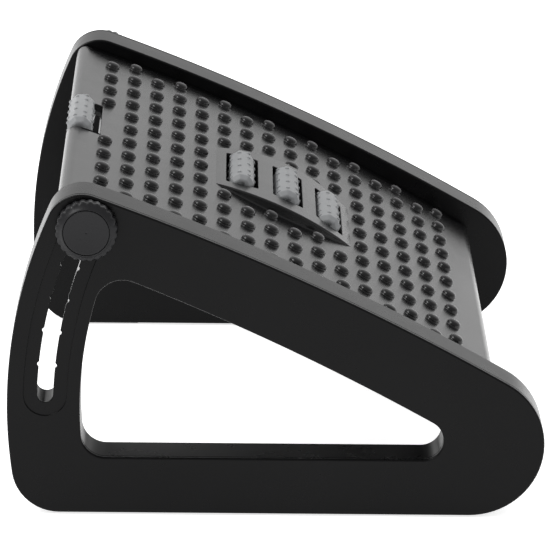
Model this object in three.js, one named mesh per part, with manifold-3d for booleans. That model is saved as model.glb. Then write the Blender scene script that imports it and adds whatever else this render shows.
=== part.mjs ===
// Slant board: a studded foot platform that tilts between two moulded side frames.
//
// The platform turns on a steel rod at its low front edge. A lobed clamp knob on each side
// holds its rear edge in one of six notches of a curved slot. Three massage rollers sit in a
// raised pad in the middle of the platform, and a fourth lies in its rear edge.
//
// Millimetres. +X runs towards the low end, +Y across the board, +Z up. The origin is on the
// floor under the middle of the board, and the board is drawn at its steepest setting.

import * as THREE from "three";
import Module from "manifold-3d";
import { mergeVertices } from "three/addons/utils/BufferGeometryUtils.js";

const wasm = await Module();
wasm.setup();

const DEGREE = Math.PI / 180;

// Whole board
const BOARD_LENGTH = 361.6;
const FRAMES_WIDTH = 444;
const GAP = 0.3;

// Side frame: a tray that is open outwards, closed by a cover plate
const FRAME_THICKNESS = 32.5;
const COVER_THICKNESS = 3.5;
const WALL = 3.5;
const FRAME_FLOOR = 1.5;
const REAR_RADIUS = 335;
const REAR_CENTRE = { x: REAR_RADIUS - BOARD_LENGTH / 2, z: 75.5 };
const TOP_RADIUS = 1758;
const LOW_END_RADIUS = 50;
const LOW_END_CENTRE = { x: BOARD_LENGTH / 2 - LOW_END_RADIUS, z: FRAME_FLOOR + LOW_END_RADIUS };
const HIGH_CORNER_RADIUS = 24;
const HIGH_CORNER_ANGLE = 156.2 * DEGREE;
const FOOT_CORNER_RADIUS = 32;
const REAR_ARM_WIDTH = 49;
const TOP_BAR_DEPTH = 46;
const FLOOR_BAR_DEPTH = 39.5;
const WINDOW_CORNER_RADII = { foot: 17, low: 14, high: 19 };
const WINDOW_TOP_SHIFT = { x: -19.5, z: 7.75 };

// Pivot of the platform and the curved slot about it
const PIVOT = { x: 140.2, z: 76.4 };
const SLOT_RADIUS = 295.4;
const SLOT_TOP_ANGLE = 154.8 * DEGREE;
const SETTINGS = 6;
const SETTING_STEP = 4.6 * DEGREE;
const SLOT_RUN_ON = 0.5 * DEGREE;
const SLOT_HALF_WIDTH = 5.4;
const SHELL_SLOT_HALF_WIDTH = 7;
const NOTCH_RADIUS = 2;
const NOTCH_DEPTH = 1.2;
const NOTCH_LEAD = 1.05 * DEGREE;
const TRACK_HALF_WIDTH = 14.6;
const TRACK_DEPTH = 1;

// Rubber foot strips under the frames
const PAD_LENGTH = 46;
const PAD_WIDTH = 20;
const PAD_HEIGHT = 2.5;
const PAD_X = [-124, 112];

// Pivot rod, its captive nuts and the bushes in the platform's barrel
const ROD_RADIUS = 4;
const ROD_BORE = ROD_RADIUS + GAP;
const ROD_REACH = 14;
const SOCKET_RADIUS = 14;
const SOCKET_DEPTH = 12;
const NUT_ACROSS_FLATS = 13;
const NUT_THICKNESS = 6.5;
const BUSH_RADIUS = 5.6;
const BUSH_LENGTH = 20;
const BUSH_FLANGE_RADIUS = 8;
const BUSH_FLANGE = 1.4;

// Platform
const PLATFORM_WIDTH = 375;
const SURFACE_RADIUS = 1453;
const PLATE_THICKNESS = 5;
const BARREL_RADIUS = 9.3;
const BOLT_DEPTH = 13.5;
const BOSS_RADIUS = 11.4;
const BOSS_LENGTH = 40;
const LIP_RADIUS = 7;
const LIP_REACH = 16.6;
const SKIRT_DEPTH = 17;
const SKIRT_THICKNESS = 4;
const RIB_DEPTH = 15;
const RIB_THICKNESS = 3;
const LONG_RIBS = [-125, -66, 66, 125];
const CROSS_RIB_COLUMNS = [3.5, 11.5, 14];

// Studs: staggered columns from the rear edge to the front
const COLUMNS = 16;
const COLUMN_PITCH = 18.05;
const FIRST_COLUMN_SETBACK = 2.7;
const STUD_PITCH = 33.55;
const STUD_RADIUS = 5.1;
const STUD_TOP_RADIUS = 3.2;
const STUD_HEIGHT = 3.6;
const STUD_SIDES = 6;
const STUD_ROOT = 1;

// Raised pad and massage rollers
const PAD_COLUMN = 7.58;
const BRIDGE_HALF_LENGTH = 53;
const BRIDGE_HEIGHT = 7.5;
const BRIDGE_END_HALF_WIDTH = 46;
const BRIDGE_BOW = 12;
const BRIDGE_ROOT = 8;
const ROLLER_PITCH = 34.7;
const ROLLER_CORE_RADIUS = 8;
const ROLLER_RIDGE_RADIUS = 10;
const ROLLER_RIDGES = 8;
const ROLLER_HALF_LENGTH = 33.5;
const ROLLER_CHAMFER = 3;
const ROLLER_SINK = 3.2;
const REAR_ROLLER_COLUMN = -1.02;
const REAR_OPENING_FRONT = 14.4;
const REAR_OPENING_BACK = -40;
const OPENING_HALF_LENGTH = 11.6;
const OPENING_HALF_WIDTH = 36;
const OPENING_REACH = 30;
const WELL_WALL = 2;
const WELL_DEPTH = 14;
const WELL_FLOOR_DEPTH = 12;
const AXLE_RADIUS = 1.6;
const AXLE_HALF_LENGTH = 42;
const SEAT_CLEARANCE = 0.3;
const SEAT_SLOT_DEPTH = 24;

// Clamps: washer, knob, cap and stud bolt on each side
const KNOB_RADIUS = 20.6;
const KNOB_LOBES = 24;
const LOBE_DEPTH = 1;
const KNOB_THICKNESS = 10.8;
const KNOB_RIM_THICKNESS = 8;
const KNOB_DISC_RADIUS = 15.3;
const CAP_THICKNESS = 1.6;
const HEAD_ACROSS_FLATS = 13;
const HEAD_THICKNESS = 4;
const BOLT_RADIUS = 4;
const BOLT_BORE = BOLT_RADIUS + GAP;
const WASHER_RADIUS = 14;
const WASHER_THICKNESS = 1.3;
const COLLAR_RADIUS = 5;
const COLLAR_LENGTH = 16;
const INSERT_RADIUS = 6.5;
const INSERT_LENGTH = 18;
const BOLT_REACH = 24;
const BOLT_HOLE_DEPTH = 30;

// ---------------------------------------------------------------- plane geometry

function polar(centre, radius, angle) {
  return { x: centre.x + radius * Math.cos(angle), z: centre.z + radius * Math.sin(angle) };
}

function direction(from, to) {
  return Math.atan2(to.z - from.z, to.x - from.x);
}

// The point at the two given distances from a and b, on the left of the line from a to b.
function meet(a, distanceA, b, distanceB) {
  const span = Math.hypot(b.x - a.x, b.z - a.z);
  const along = (distanceA ** 2 - distanceB ** 2 + span ** 2) / (2 * span);
  const aside = Math.sqrt(distanceA ** 2 - along ** 2);
  const heading = direction(a, b);
  const foot = polar(a, along, heading);
  return polar(foot, aside, heading + Math.PI / 2);
}

function arc(centre, radius, start, end, steps) {
  const points = [];
  for (let i = 0; i <= steps; i += 1) {
    points.push(polar(centre, radius, start + ((end - start) * i) / steps));
  }
  return points;
}

// ---------------------------------------------------------------- solids

function toManifold(geometry) {
  const bare = geometry.index ? geometry : geometry.clone();
  bare.deleteAttribute("normal");
  bare.deleteAttribute("uv");
  const merged = mergeVertices(bare, 1e-4);
  const mesh = new wasm.Mesh({
    numProp: 3,
    vertProperties: new Float32Array(merged.attributes.position.array),
    triVerts: new Uint32Array(merged.index.array),
  });
  mesh.merge();
  return new wasm.Manifold(mesh);
}

function toGeometry(manifold) {
  const mesh = manifold.getMesh();
  const geometry = new THREE.BufferGeometry();
  geometry.setAttribute("position", new THREE.BufferAttribute(mesh.vertProperties, 3));
  geometry.setIndex(new THREE.BufferAttribute(mesh.triVerts, 1));
  geometry.computeVertexNormals();
  return geometry;
}

// An outline in the XZ plane, pushed along Y from one height to another.
function prism(points, yLow, yHigh) {
  const shape = new THREE.Shape(points.map((point) => new THREE.Vector2(point.x, point.z)));
  const geometry = new THREE.ExtrudeGeometry(shape, { depth: yHigh - yLow, bevelEnabled: false });
  geometry.rotateX(Math.PI / 2);
  geometry.translate(0, yHigh, 0);
  return toManifold(geometry);
}

// The same, between two distances from the middle plane on one side: side is -1 or 1.
function sidePrism(points, side, inner, outer) {
  return prism(points, Math.min(side * inner, side * outer), Math.max(side * inner, side * outer));
}

function polygon(centre, radius, sides, turn = 0) {
  return arc(centre, radius, turn, turn + 2 * Math.PI * (1 - 1 / sides), sides - 1);
}

function hexagon(centre, acrossFlats) {
  return polygon(centre, acrossFlats / Math.sqrt(3), 6);
}

function union(solids) {
  return solids.reduce((whole, solid) => whole.add(solid));
}

// ---------------------------------------------------------------- side frame outlines

const HIGH_CORNER_CENTRE = polar(REAR_CENTRE, REAR_RADIUS - HIGH_CORNER_RADIUS, HIGH_CORNER_ANGLE);
const TOP_CENTRE = meet(
  LOW_END_CENTRE,
  TOP_RADIUS - LOW_END_RADIUS,
  HIGH_CORNER_CENTRE,
  TOP_RADIUS - HIGH_CORNER_RADIUS,
);

// A curved rear, a flat floor, a round low end, a convex top and a round high corner.
function ring({ rear, top, topCentre, floor, foot, low, high }) {
  const footCentre = { z: floor + foot };
  footCentre.x = REAR_CENTRE.x - Math.sqrt((rear - foot) ** 2 - (footCentre.z - REAR_CENTRE.z) ** 2);
  const lowCentre = { z: floor + low };
  lowCentre.x = topCentre.x + Math.sqrt((top - low) ** 2 - (lowCentre.z - topCentre.z) ** 2);
  const highCentre = meet(topCentre, top - high, REAR_CENTRE, rear - high);
  const rearStart = direction(REAR_CENTRE, highCentre);
  const rearEnd = direction(REAR_CENTRE, footCentre) + 2 * Math.PI;
  const topStart = direction(topCentre, lowCentre);
  const topEnd = direction(topCentre, highCentre);
  return [
    ...arc(REAR_CENTRE, rear, rearStart, rearEnd, 10).slice(0, -1),
    ...arc(footCentre, foot, rearEnd, 1.5 * Math.PI, 5),
    ...arc(lowCentre, low, 1.5 * Math.PI, topStart + 2 * Math.PI, 10).slice(0, -1),
    ...arc(topCentre, top, topStart, topEnd, 9).slice(0, -1),
    ...arc(highCentre, high, topEnd, rearStart, 6).slice(0, -1),
  ];
}

function frameOutline(inset) {
  return ring({
    rear: REAR_RADIUS - inset,
    top: TOP_RADIUS - inset,
    topCentre: TOP_CENTRE,
    floor: FRAME_FLOOR + inset,
    foot: FOOT_CORNER_RADIUS - inset,
    low: LOW_END_RADIUS - inset,
    high: HIGH_CORNER_RADIUS - inset,
  });
}

function windowOutline(growth) {
  return ring({
    rear: REAR_RADIUS - REAR_ARM_WIDTH + growth,
    top: TOP_RADIUS - TOP_BAR_DEPTH + growth,
    topCentre: { x: TOP_CENTRE.x + WINDOW_TOP_SHIFT.x, z: TOP_CENTRE.z + WINDOW_TOP_SHIFT.z },
    floor: FRAME_FLOOR + FLOOR_BAR_DEPTH - growth,
    foot: WINDOW_CORNER_RADII.foot + growth,
    low: WINDOW_CORNER_RADII.low + growth,
    high: WINDOW_CORNER_RADII.high + growth,
  });
}

const SLOT_LOW_ANGLE = SLOT_TOP_ANGLE + (SETTINGS - 1) * SETTING_STEP + SLOT_RUN_ON;

function slotOutline(halfWidth) {
  const capTop = polar(PIVOT, SLOT_RADIUS, SLOT_TOP_ANGLE);
  const capLow = polar(PIVOT, SLOT_RADIUS, SLOT_LOW_ANGLE);
  return [
    ...arc(PIVOT, SLOT_RADIUS + halfWidth, SLOT_TOP_ANGLE, SLOT_LOW_ANGLE, 8),
    ...arc(capLow, halfWidth, SLOT_LOW_ANGLE, SLOT_LOW_ANGLE + Math.PI, 6).slice(1, -1),
    ...arc(PIVOT, SLOT_RADIUS - halfWidth, SLOT_LOW_ANGLE, SLOT_TOP_ANGLE, 8),
    ...arc(capTop, halfWidth, SLOT_TOP_ANGLE + Math.PI, SLOT_TOP_ANGLE + 2 * Math.PI, 6).slice(1, -1),
  ];
}

const BOLT_AXIS = polar(PIVOT, SLOT_RADIUS, SLOT_TOP_ANGLE);
const OUTER_FACE = FRAMES_WIDTH / 2;
const INNER_FACE = OUTER_FACE - FRAME_THICKNESS;
const COVER_INNER = OUTER_FACE - COVER_THICKNESS;
const SHELL_OUTER = COVER_INNER - GAP;
const SHELL_FLOOR = INNER_FACE + WALL;
const BEYOND = 5;

// ---------------------------------------------------------------- side frame parts

function padOutline(x, growth) {
  const half = PAD_LENGTH / 2 + growth;
  return [
    { x: x - half, z: -growth },
    { x: x + half, z: -growth },
    { x: x + half, z: PAD_HEIGHT + growth },
    { x: x - half, z: PAD_HEIGHT + growth },
  ];
}

const PAD_MIDDLE = (INNER_FACE + SHELL_OUTER) / 2;

function footPad(side, x) {
  return sidePrism(padOutline(x, 0), side, PAD_MIDDLE - PAD_WIDTH / 2, PAD_MIDDLE + PAD_WIDTH / 2);
}

function sideShell(side) {
  const windowCollar = sidePrism(windowOutline(WALL), side, INNER_FACE, SHELL_OUTER + BEYOND);
  const slotCollar = sidePrism(
    slotOutline(SHELL_SLOT_HALF_WIDTH + WALL),
    side,
    INNER_FACE,
    SHELL_OUTER + BEYOND,
  );
  const socketEnd = SHELL_FLOOR + SOCKET_DEPTH;
  const socket = sidePrism(polygon(PIVOT, SOCKET_RADIUS, 16), side, INNER_FACE, socketEnd);
  const hollow = sidePrism(frameOutline(WALL), side, SHELL_FLOOR, SHELL_OUTER + BEYOND)
    .subtract(windowCollar)
    .subtract(slotCollar)
    .subtract(socket);
  const padFar = PAD_MIDDLE + PAD_WIDTH / 2 + GAP;
  const padNear = PAD_MIDDLE - PAD_WIDTH / 2 - GAP;
  const low = INNER_FACE - BEYOND;
  const high = SHELL_OUTER + BEYOND;
  const nutPocket = hexagon(PIVOT, NUT_ACROSS_FLATS + 2 * GAP);
  let shell = sidePrism(frameOutline(0), side, INNER_FACE, SHELL_OUTER).subtract(hollow);
  shell = shell
    .subtract(sidePrism(windowOutline(0), side, low, high))
    .subtract(sidePrism(slotOutline(SHELL_SLOT_HALF_WIDTH), side, low, high))
    .subtract(sidePrism(polygon(PIVOT, ROD_BORE, 12), side, low, high))
    .subtract(sidePrism(nutPocket, side, socketEnd - NUT_THICKNESS, high));
  for (const x of PAD_X) {
    shell = shell.subtract(sidePrism(padOutline(x, GAP), side, padNear, padFar));
  }
  return shell;
}

// Small notches in both edges of the slot, a little below each setting but the last.
function slotNotches(side) {
  const notches = [];
  const setback = SLOT_HALF_WIDTH + NOTCH_DEPTH - NOTCH_RADIUS;
  for (let i = 0; i < SETTINGS - 1; i += 1) {
    const angle = SLOT_TOP_ANGLE + i * SETTING_STEP + NOTCH_LEAD;
    for (const edge of [-1, 1]) {
      const centre = polar(PIVOT, SLOT_RADIUS + edge * setback, angle);
      const circle = polygon(centre, NOTCH_RADIUS, 10);
      notches.push(sidePrism(circle, side, COVER_INNER - BEYOND, OUTER_FACE + BEYOND));
    }
  }
  return union(notches);
}

function sideCover(side) {
  const low = COVER_INNER - BEYOND;
  const high = OUTER_FACE + BEYOND;
  return sidePrism(frameOutline(0), side, COVER_INNER, OUTER_FACE)
    .subtract(sidePrism(windowOutline(0), side, low, high))
    .subtract(sidePrism(slotOutline(TRACK_HALF_WIDTH), side, OUTER_FACE - TRACK_DEPTH, high))
    .subtract(sidePrism(slotOutline(SLOT_HALF_WIDTH), side, low, high))
    .subtract(slotNotches(side));
}

function pivotNut(side) {
  const inner = SHELL_FLOOR + SOCKET_DEPTH - NUT_THICKNESS + GAP;
  return sidePrism(hexagon(PIVOT, NUT_ACROSS_FLATS), side, inner, inner + NUT_THICKNESS)
    .subtract(sidePrism(polygon(PIVOT, ROD_BORE, 12), side, inner - BEYOND, inner + NUT_THICKNESS + BEYOND));
}

function pivotRod() {
  const end = INNER_FACE + ROD_REACH;
  return prism(polygon(PIVOT, ROD_RADIUS, 12), -end, end);
}

// ---------------------------------------------------------------- platform

const SURFACE_CENTRE = meet(
  PIVOT,
  SURFACE_RADIUS - BARREL_RADIUS,
  BOLT_AXIS,
  SURFACE_RADIUS - BOLT_DEPTH,
);
const BOLT_DIRECTION = direction(SURFACE_CENTRE, BOLT_AXIS);
const FRONT_ANGLE = direction(SURFACE_CENTRE, PIVOT);
const FIRST_COLUMN_ANGLE = BOLT_DIRECTION - FIRST_COLUMN_SETBACK / SURFACE_RADIUS;
const LIP_ANGLE = BOLT_DIRECTION + LIP_REACH / SURFACE_RADIUS;
const HALF_WIDTH = PLATFORM_WIDTH / 2;

function columnAngle(column) {
  return FIRST_COLUMN_ANGLE - (column * COLUMN_PITCH) / SURFACE_RADIUS;
}

// A band that follows the surface, from one depth under it to another.
function band(start, end, depthTop, depthLow, steps) {
  return [
    ...arc(SURFACE_CENTRE, SURFACE_RADIUS - depthTop, end, start, steps),
    ...arc(SURFACE_CENTRE, SURFACE_RADIUS - depthLow, start, end, steps),
  ];
}

// The plate's top is faceted so that each stud column stands on one facet.
function platePrism() {
  const angles = [LIP_ANGLE];
  for (let column = -0.5; column <= COLUMNS - 0.5; column += 1) {
    angles.push(columnAngle(column));
  }
  angles.push(FRONT_ANGLE);
  const top = angles.map((angle) => polar(SURFACE_CENTRE, SURFACE_RADIUS, angle));
  const low = arc(SURFACE_CENTRE, SURFACE_RADIUS - PLATE_THICKNESS, LIP_ANGLE, FRONT_ANGLE, 8);
  return prism([...low, ...top.reverse()], -HALF_WIDTH, HALF_WIDTH);
}

// Whether a roller or the raised pad takes this stud's place; across is in stud pitches.
function studLeftOut(column, across) {
  if (column === 0) {
    return Math.abs(across) < 1;
  }
  const onPad = column >= 5 && column <= 10;
  return onPad && Math.abs(across) < 2;
}

function stud(column, y) {
  const length = STUD_HEIGHT + STUD_ROOT;
  const shape = new THREE.CylinderGeometry(STUD_TOP_RADIUS, STUD_RADIUS, length, STUD_SIDES);
  const facetHalf = COLUMN_PITCH / 2 / SURFACE_RADIUS;
  const angle = columnAngle(column);
  const foot = polar(SURFACE_CENTRE, SURFACE_RADIUS * Math.cos(facetHalf), angle);
  shape.rotateX(Math.PI / 2);
  shape.translate(0, 0, (STUD_HEIGHT - STUD_ROOT) / 2);
  shape.rotateY(Math.PI / 2 - angle);
  shape.translate(foot.x, y, foot.z);
  return toManifold(shape);
}

function studs() {
  const solids = [];
  for (let column = 0; column < COLUMNS; column += 1) {
    const count = column % 2 === 0 ? 10 : 11;
    for (let i = 0; i < count; i += 1) {
      const across = i - (count - 1) / 2;
      if (!studLeftOut(column, across)) {
        solids.push(stud(column, across * STUD_PITCH));
      }
    }
  }
  return solids;
}

const MIDDLE_ANGLE = columnAngle(PAD_COLUMN);
const SURFACE_DROP = SURFACE_RADIUS - Math.sqrt(SURFACE_RADIUS ** 2 - BRIDGE_HALF_LENGTH ** 2);
const BRIDGE_RISE = BRIDGE_HEIGHT + SURFACE_DROP;
const BRIDGE_RADIUS = (BRIDGE_HALF_LENGTH ** 2 + BRIDGE_RISE ** 2) / (2 * BRIDGE_RISE);
const BRIDGE_CENTRE = polar(SURFACE_CENTRE, SURFACE_RADIUS + BRIDGE_HEIGHT - BRIDGE_RADIUS, MIDDLE_ANGLE);

// Where each roller's axis lies, and which way its opening faces.
function rollerPlaces() {
  const places = [];
  for (let i = -1; i <= 1; i += 1) {
    const angle = MIDDLE_ANGLE - (i * ROLLER_PITCH) / BRIDGE_RADIUS;
    places.push({ axis: polar(BRIDGE_CENTRE, BRIDGE_RADIUS - ROLLER_SINK, angle), facing: angle });
  }
  const rearAngle = columnAngle(REAR_ROLLER_COLUMN);
  places.push({ axis: polar(SURFACE_CENTRE, SURFACE_RADIUS - ROLLER_SINK, rearAngle), facing: rearAngle });
  return places;
}

const ROLLERS = rollerPlaces();
const PAD_ROLLERS = ROLLERS.slice(0, 3);
const REAR_ROLLER = ROLLERS[3];

// A rectangle round a roller's axis, turned to face out of the platform.
function bay(place, back, front, low, high) {
  const along = place.facing - Math.PI / 2;
  const corner = (u, v) => polar(polar(place.axis, u, along), v, place.facing);
  return [corner(back, low), corner(front, low), corner(front, high), corner(back, high)];
}

// The raised pad: its sides bow outwards and its top is part of a cylinder.
function bridge() {
  const half = Math.asin(BRIDGE_HALF_LENGTH / BRIDGE_RADIUS);
  const profile = [
    ...arc(BRIDGE_CENTRE, BRIDGE_RADIUS, MIDDLE_ANGLE - half, MIDDLE_ANGLE + half, 10),
    polar(BRIDGE_CENTRE, BRIDGE_RADIUS - BRIDGE_ROOT, MIDDLE_ANGLE + half),
    polar(BRIDGE_CENTRE, BRIDGE_RADIUS - BRIDGE_ROOT, MIDDLE_ANGLE - half),
  ];
  const widest = BRIDGE_END_HALF_WIDTH + BRIDGE_BOW;
  const plan = [];
  for (let i = 0; i <= 8; i += 1) {
    const t = (i / 8) * 2 - 1;
    plan.push(new THREE.Vector2(t * BRIDGE_HALF_LENGTH, BRIDGE_END_HALF_WIDTH + BRIDGE_BOW * (1 - t * t)));
  }
  const mirrored = plan.map((point) => new THREE.Vector2(point.x, -point.y)).reverse();
  const footprint = new THREE.ExtrudeGeometry(new THREE.Shape([...mirrored, ...plan]), {
    depth: 2 * OPENING_REACH,
    bevelEnabled: false,
  });
  const middle = polar(SURFACE_CENTRE, SURFACE_RADIUS - OPENING_REACH, MIDDLE_ANGLE);
  footprint.rotateY(Math.PI / 2 - MIDDLE_ANGLE);
  footprint.translate(middle.x, 0, middle.z);
  return prism(profile, -widest, widest).intersect(toManifold(footprint));
}

function axleSeat(place) {
  const radius = AXLE_RADIUS + SEAT_CLEARANCE;
  const length = AXLE_HALF_LENGTH + SEAT_CLEARANCE;
  return prism(polygon(place.axis, radius, 8, Math.PI / 8), -length, length)
    .add(prism(bay(place, -radius, radius, -SEAT_SLOT_DEPTH, 0), -length, length));
}

function ribs() {
  const solids = [];
  for (const y of LONG_RIBS) {
    const outline = band(LIP_ANGLE, FRONT_ANGLE, PLATE_THICKNESS - 1, RIB_DEPTH, 8);
    solids.push(prism(outline, y - RIB_THICKNESS / 2, y + RIB_THICKNESS / 2));
  }
  for (const side of [-1, 1]) {
    const outline = band(LIP_ANGLE, FRONT_ANGLE, PLATE_THICKNESS - 1, SKIRT_DEPTH, 8);
    solids.push(sidePrism(outline, side, HALF_WIDTH - SKIRT_THICKNESS, HALF_WIDTH));
  }
  const halfAngle = RIB_THICKNESS / 2 / SURFACE_RADIUS;
  for (const column of CROSS_RIB_COLUMNS) {
    const angle = columnAngle(column);
    const outline = band(angle + halfAngle, angle - halfAngle, PLATE_THICKNESS - 1, RIB_DEPTH - 2, 1);
    solids.push(prism(outline, -HALF_WIDTH + 1, HALF_WIDTH - 1));
  }
  return solids;
}

function footPlatform() {
  const lipCentre = polar(SURFACE_CENTRE, SURFACE_RADIUS - LIP_RADIUS, LIP_ANGLE);
  const solids = [
    platePrism(),
    prism(polygon(lipCentre, LIP_RADIUS, 16, LIP_ANGLE), -HALF_WIDTH, HALF_WIDTH),
    prism(polygon(PIVOT, BARREL_RADIUS, 20, FRONT_ANGLE), -HALF_WIDTH, HALF_WIDTH),
    bridge(),
    ...ribs(),
  ];
  const bossOutline = polygon(BOLT_AXIS, BOSS_RADIUS, 16, BOLT_DIRECTION);
  for (const side of [-1, 1]) {
    solids.push(sidePrism(bossOutline, side, HALF_WIDTH - BOSS_LENGTH, HALF_WIDTH));
  }
  const wellHalf = OPENING_HALF_LENGTH + WELL_WALL;
  const wellSide = OPENING_HALF_WIDTH + WELL_WALL;
  for (const place of PAD_ROLLERS) {
    solids.push(prism(bay(place, -wellHalf, wellHalf, -WELL_DEPTH, 0), -wellSide, wellSide));
  }
  let platform = union(solids);
  for (const place of ROLLERS) {
    const atRear = place === REAR_ROLLER;
    const back = atRear ? REAR_OPENING_BACK : -OPENING_HALF_LENGTH;
    const front = atRear ? REAR_OPENING_FRONT : OPENING_HALF_LENGTH;
    const depth = atRear ? OPENING_REACH : WELL_FLOOR_DEPTH;
    const outline = bay(place, back, front, -depth, OPENING_REACH);
    const opening = prism(outline, -OPENING_HALF_WIDTH, OPENING_HALF_WIDTH);
    platform = platform.subtract(opening).subtract(axleSeat(place));
  }
  platform = platform.subtract(prism(polygon(PIVOT, BUSH_RADIUS + GAP, 12), -HALF_WIDTH - 1, HALF_WIDTH + 1));
  const pocket = polygon(BOLT_AXIS, INSERT_RADIUS + GAP, 12);
  const bore = polygon(BOLT_AXIS, BOLT_BORE, 12);
  for (const side of [-1, 1]) {
    platform = platform
      .subtract(sidePrism(pocket, side, HALF_WIDTH - INSERT_LENGTH - GAP, HALF_WIDTH + 1))
      .subtract(sidePrism(bore, side, HALF_WIDTH - BOLT_HOLE_DEPTH, HALF_WIDTH));
  }
  return platform.add(union(studs()));
}

function pivotBush(side) {
  const flangeOuter = HALF_WIDTH + GAP + BUSH_FLANGE;
  return sidePrism(polygon(PIVOT, BUSH_RADIUS, 12), side, HALF_WIDTH - BUSH_LENGTH, flangeOuter)
    .add(sidePrism(polygon(PIVOT, BUSH_FLANGE_RADIUS, 16), side, HALF_WIDTH + GAP, flangeOuter))
    .subtract(sidePrism(polygon(PIVOT, ROD_BORE, 12), side, HALF_WIDTH - BUSH_LENGTH - 1, flangeOuter + 1));
}

function threadInsert(side) {
  return sidePrism(polygon(BOLT_AXIS, INSERT_RADIUS, 12), side, HALF_WIDTH - INSERT_LENGTH, HALF_WIDTH)
    .subtract(
      sidePrism(polygon(BOLT_AXIS, BOLT_BORE, 12), side, HALF_WIDTH - INSERT_LENGTH - 1, HALF_WIDTH + 1),
    );
}

// ---------------------------------------------------------------- rollers

// A barrel with eight ridges and chamfered ends, bored for its axle.
function roller(place) {
  const points = [];
  for (let i = 0; i < ROLLER_RIDGES * 2; i += 1) {
    const radius = i % 2 === 0 ? ROLLER_RIDGE_RADIUS : ROLLER_CORE_RADIUS;
    points.push(polar(place.axis, radius, place.facing + (i * Math.PI) / ROLLER_RIDGES));
  }
  const ridged = prism(points, -ROLLER_HALF_LENGTH, ROLLER_HALF_LENGTH);
  const envelope = new THREE.LatheGeometry([
    new THREE.Vector2(0, -ROLLER_HALF_LENGTH),
    new THREE.Vector2(ROLLER_CORE_RADIUS - 2, -ROLLER_HALF_LENGTH),
    new THREE.Vector2(ROLLER_RIDGE_RADIUS + 1, ROLLER_CHAMFER * 2 - ROLLER_HALF_LENGTH),
    new THREE.Vector2(ROLLER_RIDGE_RADIUS + 1, ROLLER_HALF_LENGTH - ROLLER_CHAMFER * 2),
    new THREE.Vector2(ROLLER_CORE_RADIUS - 2, ROLLER_HALF_LENGTH),
    new THREE.Vector2(0, ROLLER_HALF_LENGTH),
  ], 16);
  envelope.translate(place.axis.x, 0, place.axis.z);
  const reach = ROLLER_HALF_LENGTH + 1;
  const bore = prism(polygon(place.axis, AXLE_RADIUS + 0.5, 8), -reach, reach);
  return ridged.intersect(toManifold(envelope)).subtract(bore);
}

function rollerAxle(place) {
  return prism(polygon(place.axis, AXLE_RADIUS, 8), -AXLE_HALF_LENGTH, AXLE_HALF_LENGTH);
}

// ---------------------------------------------------------------- clamps

const WASHER_INNER = OUTER_FACE - TRACK_DEPTH + GAP;
const WASHER_OUTER = WASHER_INNER + WASHER_THICKNESS;
const KNOB_INNER = WASHER_OUTER + GAP;
const KNOB_OUTER = KNOB_INNER + KNOB_THICKNESS;
const CAP_SEAT = KNOB_OUTER - CAP_THICKNESS - GAP;
const HEAD_SEAT = CAP_SEAT - HEAD_THICKNESS - 2 * GAP;

function clampWasher(side) {
  return sidePrism(polygon(BOLT_AXIS, WASHER_RADIUS, 20), side, WASHER_INNER, WASHER_OUTER)
    .add(sidePrism(polygon(BOLT_AXIS, COLLAR_RADIUS, 12), side, WASHER_INNER - COLLAR_LENGTH, WASHER_OUTER))
    .subtract(
      sidePrism(polygon(BOLT_AXIS, BOLT_BORE, 12), side, WASHER_INNER - COLLAR_LENGTH - 1, WASHER_OUTER + 1),
    );
}

function lobedOutline() {
  const points = [];
  for (let i = 0; i < KNOB_LOBES * 3; i += 1) {
    const radius = i % 3 === 0 ? KNOB_RADIUS - LOBE_DEPTH : KNOB_RADIUS;
    points.push(polar(BOLT_AXIS, radius, (i * 2 * Math.PI) / (KNOB_LOBES * 3)));
  }
  return points;
}

function knob(side) {
  const profile = [
    new THREE.Vector2(0, KNOB_INNER),
    new THREE.Vector2(KNOB_RADIUS + 1, KNOB_INNER),
    new THREE.Vector2(KNOB_RADIUS + 1, KNOB_INNER + KNOB_RIM_THICKNESS),
    new THREE.Vector2(KNOB_DISC_RADIUS + GAP + 1.2, KNOB_OUTER),
    new THREE.Vector2(KNOB_DISC_RADIUS + GAP, KNOB_OUTER),
    new THREE.Vector2(KNOB_DISC_RADIUS + GAP, CAP_SEAT),
    new THREE.Vector2(0, CAP_SEAT),
  ];
  const turned = new THREE.LatheGeometry(profile, 28);
  if (side < 0) {
    turned.rotateX(Math.PI);
  }
  turned.translate(BOLT_AXIS.x, 0, BOLT_AXIS.z);
  return sidePrism(lobedOutline(), side, KNOB_INNER - 1, KNOB_OUTER + 1)
    .intersect(toManifold(turned))
    .subtract(sidePrism(polygon(BOLT_AXIS, BOLT_BORE, 12), side, KNOB_INNER - 1, KNOB_OUTER))
    .subtract(sidePrism(hexagon(BOLT_AXIS, HEAD_ACROSS_FLATS + 2 * GAP), side, HEAD_SEAT, KNOB_OUTER));
}

function knobCap(side) {
  const profile = [
    new THREE.Vector2(0, CAP_SEAT + GAP),
    new THREE.Vector2(KNOB_DISC_RADIUS, CAP_SEAT + GAP),
    new THREE.Vector2(KNOB_DISC_RADIUS, KNOB_OUTER),
    new THREE.Vector2(KNOB_DISC_RADIUS * 0.6, KNOB_OUTER - 0.5),
    new THREE.Vector2(0, KNOB_OUTER - 0.7),
  ];
  const turned = new THREE.LatheGeometry(profile, 24);
  if (side < 0) {
    turned.rotateX(Math.PI);
  }
  turned.translate(BOLT_AXIS.x, 0, BOLT_AXIS.z);
  return toManifold(turned);
}

function clampBolt(side) {
  const head = HEAD_SEAT + GAP;
  return sidePrism(polygon(BOLT_AXIS, BOLT_RADIUS, 12), side, HALF_WIDTH - BOLT_REACH, head + 1)
    .add(sidePrism(hexagon(BOLT_AXIS, HEAD_ACROSS_FLATS), side, head, head + HEAD_THICKNESS));
}

// ---------------------------------------------------------------- assembly

function plastic(color, roughness) {
  return new THREE.MeshStandardMaterial({ color, roughness, metalness: 0 });
}

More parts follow.
